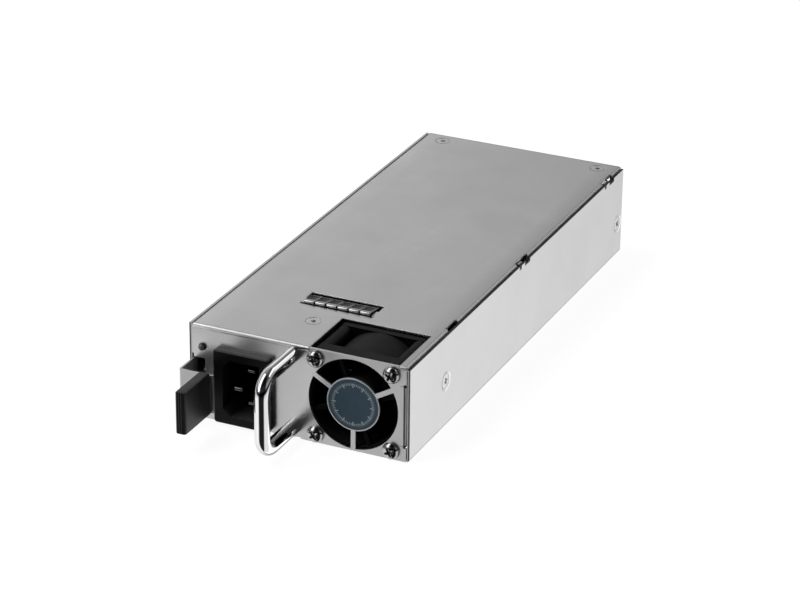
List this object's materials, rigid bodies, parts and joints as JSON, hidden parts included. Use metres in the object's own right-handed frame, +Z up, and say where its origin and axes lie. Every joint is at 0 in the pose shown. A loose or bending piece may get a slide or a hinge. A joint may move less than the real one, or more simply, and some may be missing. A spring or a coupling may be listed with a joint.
{
  "type": "hot swap server power supply",
  "caption": "Slim hot-swap server power supply module in a plated steel case, with a front fan guard, mains inlet, bar handle, side latch, status lamp and rear card-edge output.",
  "frame": {"origin": "centre of the case's bottom face", "axes": "+Z up, +Y from the front panel to the rear card edge, +X to the right seen from the front"},
  "size_m": [0.0956, 0.265, 0.0413],
  "materials": {
    "case_steel": "plated sheet steel, satin, faintly mottled",
    "panel_steel": "plated sheet steel, satin",
    "chrome_bar": "polished bright chrome",
    "screw_steel": "nickel plated, semi bright",
    "dark_screw": "dark nickel, semi bright",
    "spring_steel": "rolled spring steel, satin",
    "contact_metal": "bright spring metal",
    "black_plastic": "moulded, fine texture",
    "fan_plastic": "moulded, satin",
    "badge_face": "printed film, satin",
    "led_lens": "tinted lens, unlit",
    "pin_metal": "nickel plated",
    "board": "glass fibre board, green resist",
    "gold_pad": "gold flash on copper",
    "copper_wire": "enamelled copper",
    "ferrite": "sintered, matt",
    "core_coat": "coated powder core",
    "tape_yellow": "winding tape",
    "capacitor_sleeve": "shrink sleeve",
    "film_capacitor": "potted box",
    "ceramic_blue": "dipped ceramic",
    "relay_case": "moulded",
    "heatsink": "extruded",
    "moulded_package": "epoxy package",
    "fuse_glass": "clear tube",
    "insulator": "polyester film",
    "magnet": "bonded ring in a steel cup",
    "copper_bar": "tinned copper bar",
    "wire_black": "insulated lead",
    "wire_green": "insulated lead",
    "bronze": "sintered",
    "brass_part": "turned",
    "connector_white": "moulded"
  },
  "bodies": {
    "chassis": {"board_screws": "screw_steel", "board_standoffs": "brass_part", "boost_choke_core": "core_coat", "boost_choke_winding": "copper_wire", "bridge_rectifier": "moulded_package", "bulk_capacitors": "capacitor_sleeve", "chassis_tray": "case_steel", "choke_cores": "ferrite", "choke_windings": "copper_wire", "control_board": "board", "control_chips": "moulded_package", "cover_screws": "screw_steel", "earth_terminal": "brass_part", "earth_wire": "wire_green", "edge_contacts": "gold_pad", "fan_bearings": "bronze", "fan_coils": "copper_wire", "fan_driver_board": "board", "fan_frame": "fan_plastic", "fan_header": "connector_white", "fan_screws": "dark_screw", "fan_stator": "ferrite", "fan_wires": "wire_black", "front_panel": "panel_steel", "fuse_clips": "brass_part", "guard_badge": "badge_face", "handle": "chrome_bar", "handle_screws": "screw_steel", "inlet_housing": "black_plastic", "inlet_pins": "pin_metal", "inrush_relay": "relay_case", "insulation_sheet": "insulator", "led_board": "board", "line_fuse": "fuse_glass", "line_wires": "wire_black", "main_board": "board", "output_busbars": "copper_bar", "output_capacitors": "capacitor_sleeve", "output_choke_core": "ferrite", "output_choke_winding": "copper_bar", "power_transistors": "moulded_package", "primary_heatsink": "heatsink", "rear_panel": "case_steel", "rectifier_transistors": "moulded_package", "secondary_heatsink": "heatsink", "side_screws": "screw_steel", "status_led": "led_lens", "surge_varistor": "ceramic_blue", "top_cover": "case_steel", "transformer_core": "ferrite", "transformer_winding": "tape_yellow", "x_capacitors": "film_capacitor", "y_capacitors": "ceramic_blue"},
    "fan_rotor": {"fan_blades": "fan_plastic", "fan_magnet": "magnet", "fan_shaft": "screw_steel"},
    "latch": {"latch_spring": "spring_steel", "latch_grip": "black_plastic", "latch_rivet": "screw_steel"},
    "contact_strip": {"contact_strip": "contact_metal"}
  },
  "joints": [
    {"name": "fan_spin", "type": "hinge", "parent": "chassis", "child": "fan_rotor", "pos_m": [0.0233, -0.099, 0.0197], "axis": [0, 1, 0], "continuous": true},
    {"name": "latch_flex", "type": "hinge", "parent": "chassis", "child": "latch", "pos_m": [-0.0465, -0.045, 0.0121], "axis": [0, 0, 1], "range_deg": [0, 3], "stiffness_Nm_per_rad": 8},
    {"name": "contact_strip_press", "type": "slide", "parent": "chassis", "child": "contact_strip", "axis": [0, 0, -1], "range_m": [0, 0.0004], "stiffness_N_per_m": 500, "springref_m": -0.0004}
  ]
}
